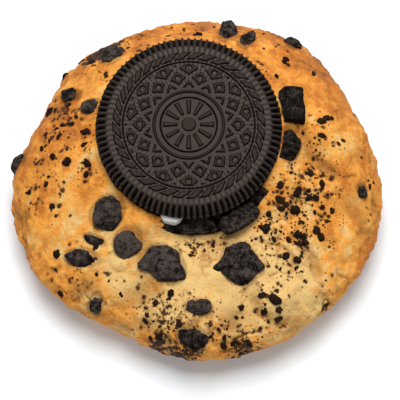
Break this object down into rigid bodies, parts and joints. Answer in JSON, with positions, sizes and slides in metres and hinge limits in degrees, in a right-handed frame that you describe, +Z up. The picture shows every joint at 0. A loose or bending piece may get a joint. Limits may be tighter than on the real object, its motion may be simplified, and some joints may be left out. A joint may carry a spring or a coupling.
{
  "type": "stuffed cookie",
  "caption": "Thick domed stuffed cookie with a dark sandwich biscuit pressed into its top and broken biscuit pieces baked in all over it.",
  "frame": {"origin": "middle of the dough's flat underside, on the surface that it rests on", "axes": "+Z up; -Y towards the front, the lower side of the dome; +X to the right seen from the front"},
  "size_m": [0.0914, 0.0873, 0.031],
  "materials": {
    "dough": "dry baked dough, pale gold in the middle to golden brown at the rim",
    "wafer": "dry dark cocoa biscuit, matte, embossed",
    "cream": "soft white filling, satin",
    "chunks": "broken dark cocoa biscuit, rough and matte"
  },
  "bodies": {
    "root": {"dough": "dough", "wafer_top": "wafer", "cream": "cream", "wafer_bottom": "wafer", "wafer_shard": "wafer", "chunk_left_front": "chunks", "chunk_front_a": "chunks", "chunk_front_b": "chunks", "chunk_front_c": "chunks", "chunk_right_a": "chunks", "chunk_right_b": "chunks", "chunk_bottom_b": "chunks", "chunk_back_a": "chunks", "chunk_back_b": "chunks", "chunk_back_c": "chunks", "chunk_back_left": "chunks", "chunk_left_a": "chunks", "chunk_left_b": "chunks", "chunk_left_rim": "chunks", "chunk_low_a": "chunks", "chunk_low_b": "chunks", "chunk_bottom_a": "chunks", "chunk_bottom_c": "chunks", "chunk_right_rim": "chunks"}
  },
  "joints": []
}
